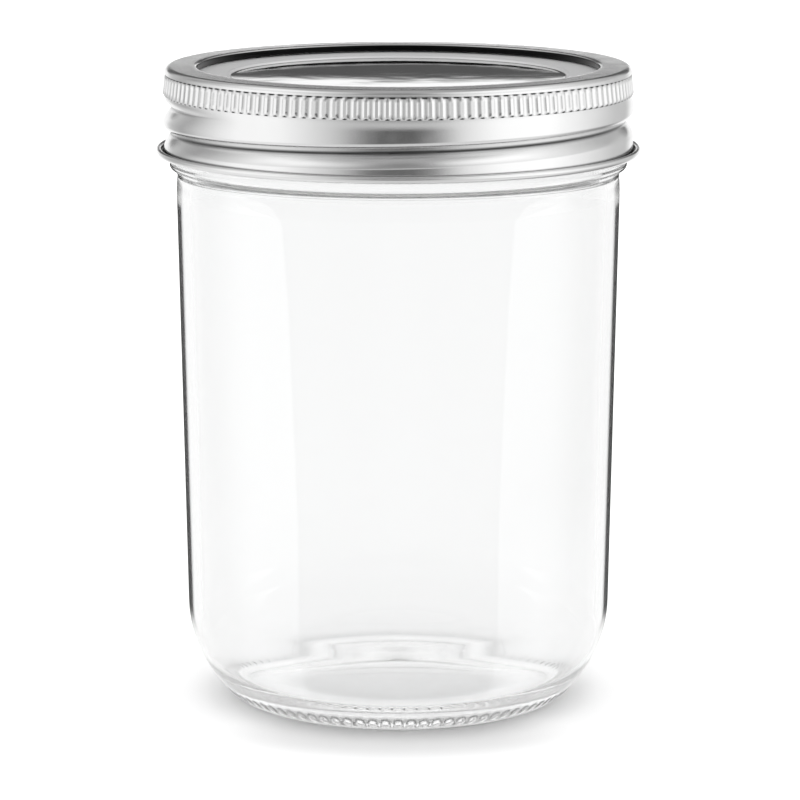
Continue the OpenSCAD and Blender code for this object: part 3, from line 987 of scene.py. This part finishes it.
def light_the_studio():
    """White all round for the camera and the floor, and soft panels for what glass and metal show."""
    world = bpy.data.worlds.new("Studio")
    bpy.context.scene.world = world
    world.use_nodes = True
    wiring = Wiring(world.node_tree)
    way = wiring.add(
        "ShaderNodeSeparateXYZ", {"Vector": wiring.add("ShaderNodeTexCoord").outputs["Generated"]}
    ).outputs
    # Degrees from the front (-Y) round to the back, and degrees over the horizon
    towards = wiring.math("MULTIPLY", way["Y"], -1.0)
    turn = wiring.math("DEGREES", wiring.math("ARCTAN2", way["X"], towards))
    away = wiring.math("ABSOLUTE", turn)
    rise = wiring.math("DEGREES", wiring.math("ARCSINE", way["Z"]))

    # What the satin metal shows: a side panel on the left and a brighter one on the right, dark
    # gaps in front and between the panels and the backdrop, and a backdrop that ends low
    around = wiring.ramp(wiring.math("MULTIPLY", turn, 0.5), [
        (-90, 0.9), (-75, 0.66), (-65, 0.45), (-55, 0.8), (-43, 1.2), (-30, 1.2), (-15, 0.72),
        (0, 0.5), (13, 0.85), (25, 1.28), (38, 1.35), (48, 1.12), (65, 0.68), (76, 0.62), (90, 0.85),
    ])
    level = wiring.ramp(rise, [(13, 1.0), (20, 0.8), (30, 0.85), (45, 1.0)])
    sides = wiring.math("MULTIPLY", around, level)
    under = wiring.ramp(wiring.math("MULTIPLY", turn, 0.5), [
        (-90, 0.6), (-65, 0.95), (-40, 1.05), (-15, 0.8), (15, 0.8), (45, 1.0), (57, 0.6), (70, 0.3),
    ])
    sides = wiring.blend(under, sides, wiring.fade(rise, -28, -14))
    front = wiring.ramp(rise, [
        (-30, 0.75), (-14, 0.2), (-11, 0.12), (-4, 0.12), (4, 0.5), (9, 0.66), (14, 0.6), (21, 0.32),
        (45, 0.28),
    ])
    back = wiring.ramp(rise, [(5.9, 1.1), (6.35, 0.1), (22, 0.1), (45, 0.2)])
    metal = wiring.blend(front, sides, wiring.fade(away, 6, 34))
    metal = wiring.blend(metal, back, wiring.fade(away, 146, 160))
    metal = wiring.blend(metal, 0.45, wiring.fade(rise, 48, 68))

    # What smooth glass mirrors: a dim front between two bright side panels, white behind, and a
    # dark stretch behind the edges of its wall. Each panel ends at a plane that leans by panel_az
    panel_az = math.radians(29.4)
    leaning = wiring.math(
        "MULTIPLY_ADD",
        wiring.math("ABSOLUTE", way["X"]),
        math.cos(panel_az),
        wiring.math("MULTIPLY", way["Y"], math.sin(panel_az)),
    )
    leaning = wiring.math(
        "MULTIPLY_ADD", wiring.math("MAXIMUM", way["Z"], -0.25), -1.2, leaning
    )
    glass = wiring.fade(leaning, 0.709, 0.741, 0.65, 1.6)
    glass = wiring.blend(glass, 0.8, wiring.fade(away, 80, 112))
    glass = wiring.blend(glass, 1.0, wiring.fade(away, 122, 134))
    low = wiring.ramp(rise, [(-16, 0.0), (-14.5, 1.0), (-5.5, 1.0), (-4, 0.0)])
    mirrored = wiring.blend(
        glass, 0.04, wiring.math("MULTIPLY", wiring.fade(away, 148, 156), low)
    )
    path = wiring.add("ShaderNodeLightPath").outputs
    turned = wiring.math("GREATER_THAN", path["Glossy Depth"], 0.5)
    through = wiring.blend(1.0, glass, turned)
    through = wiring.math("MULTIPLY", through, wiring.fade(path["Glossy Depth"], 2.0, 5.0, 1.0, 1.3))
    lit = wiring.math("GREATER_THAN", path["Diffuse Depth"], 0.5)
    through = wiring.blend(through, DIFFUSE_LIGHT, lit)

    seen = wiring.blend(DIFFUSE_LIGHT, metal, path["Is Glossy Ray"])
    seen = wiring.blend(seen, mirrored, path["Is Singular Ray"])
    seen = wiring.blend(seen, through, path["Is Transmission Ray"])
    seen = wiring.blend(seen, 1.0, path["Is Camera Ray"])
    light = wiring.add("ShaderNodeBackground", {"Color": (1, 1, 1, 1), "Strength": seen})
    wiring.add("ShaderNodeOutputWorld", {"Surface": light.outputs[0]})


class SCENE_OT_studio(bpy.types.Operator):
    """Make the white floor, the soft light and the camera"""

    bl_idname = "scene.starter_studio"
    bl_label = "Studio"

    def execute(self, context):
        size = context.scene.starter_stage
        scene = context.scene
        mesh = bpy.data.meshes.new("floor")
        rim = [
            (size.floor_r * math.cos(math.tau * i / 64), size.floor_r * math.sin(math.tau * i / 64), -0.02 * MM)
            for i in range(64)
        ]
        mesh.from_pydata(rim, [], [list(range(64))])
        mesh.materials.append(floor_finish())
        floor = bpy.data.objects.new("floor", mesh)
        scene.collection.objects.link(floor)
        floor.visible_glossy = False
        light_the_studio()
        camera = bpy.data.objects.new("camera", bpy.data.cameras.new("camera"))
        scene.collection.objects.link(camera)
        camera.location = (size.camera_x, -size.camera_y, size.camera_z)
        camera.rotation_euler = (math.radians(90) - size.camera_pitch, 0, 0)
        camera.data.lens = size.camera_lens
        camera.data.sensor_width = 36
        camera.data.clip_start = 0.01
        camera.data.clip_end = 20
        scene.camera = camera
        scene.view_settings.view_transform = "Standard"
        scene.view_settings.look = "None"
        scene.cycles.max_bounces = 48
        scene.cycles.transmission_bounces = 36
        scene.cycles.glossy_bounces = 36
        return {"FINISHED"}


GROUPS = (
    ("starter_glass", GlassSizes),
    ("starter_band", BandSizes),
    ("starter_lid", LidSizes),
    ("starter_stage", StageSizes),
)
OPERATORS = (
    OBJECT_OT_glass_jar,
    OBJECT_OT_screw_band,
    OBJECT_OT_flat_lid,
    OBJECT_OT_seal,
    SCENE_OT_studio,
)


class VIEW3D_PT_starter_jar(bpy.types.Panel):
    """Buttons that make the jar, piece by piece"""

    bl_label = "Starter Jar"
    bl_idname = "VIEW3D_PT_starter_jar"
    bl_space_type = "VIEW_3D"
    bl_region_type = "UI"
    bl_category = "Starter Jar"

    def draw(self, context):
        for name, group in GROUPS:
            box = self.layout.box()
            for key in group.__annotations__:
                box.prop(getattr(context.scene, name), key)
        for operator in OPERATORS:
            self.layout.operator(operator.bl_idname)


def register():
    for name, group in GROUPS:
        bpy.utils.register_class(group)
        setattr(bpy.types.Scene, name, bpy.props.PointerProperty(type=group))
    for operator in OPERATORS:
        bpy.utils.register_class(operator)
    bpy.utils.register_class(VIEW3D_PT_starter_jar)


def unregister():
    bpy.utils.unregister_class(VIEW3D_PT_starter_jar)
    for operator in reversed(OPERATORS):
        bpy.utils.unregister_class(operator)
    for name, group in reversed(GROUPS):
        delattr(bpy.types.Scene, name)
        bpy.utils.unregister_class(group)


def main():
    register()
    bpy.ops.object.starter_glass_jar()
    bpy.ops.object.starter_screw_band()
    bpy.ops.object.starter_flat_lid()
    bpy.ops.object.starter_seal()
    bpy.ops.scene.starter_studio()


if __name__ == "__main__":
    main()
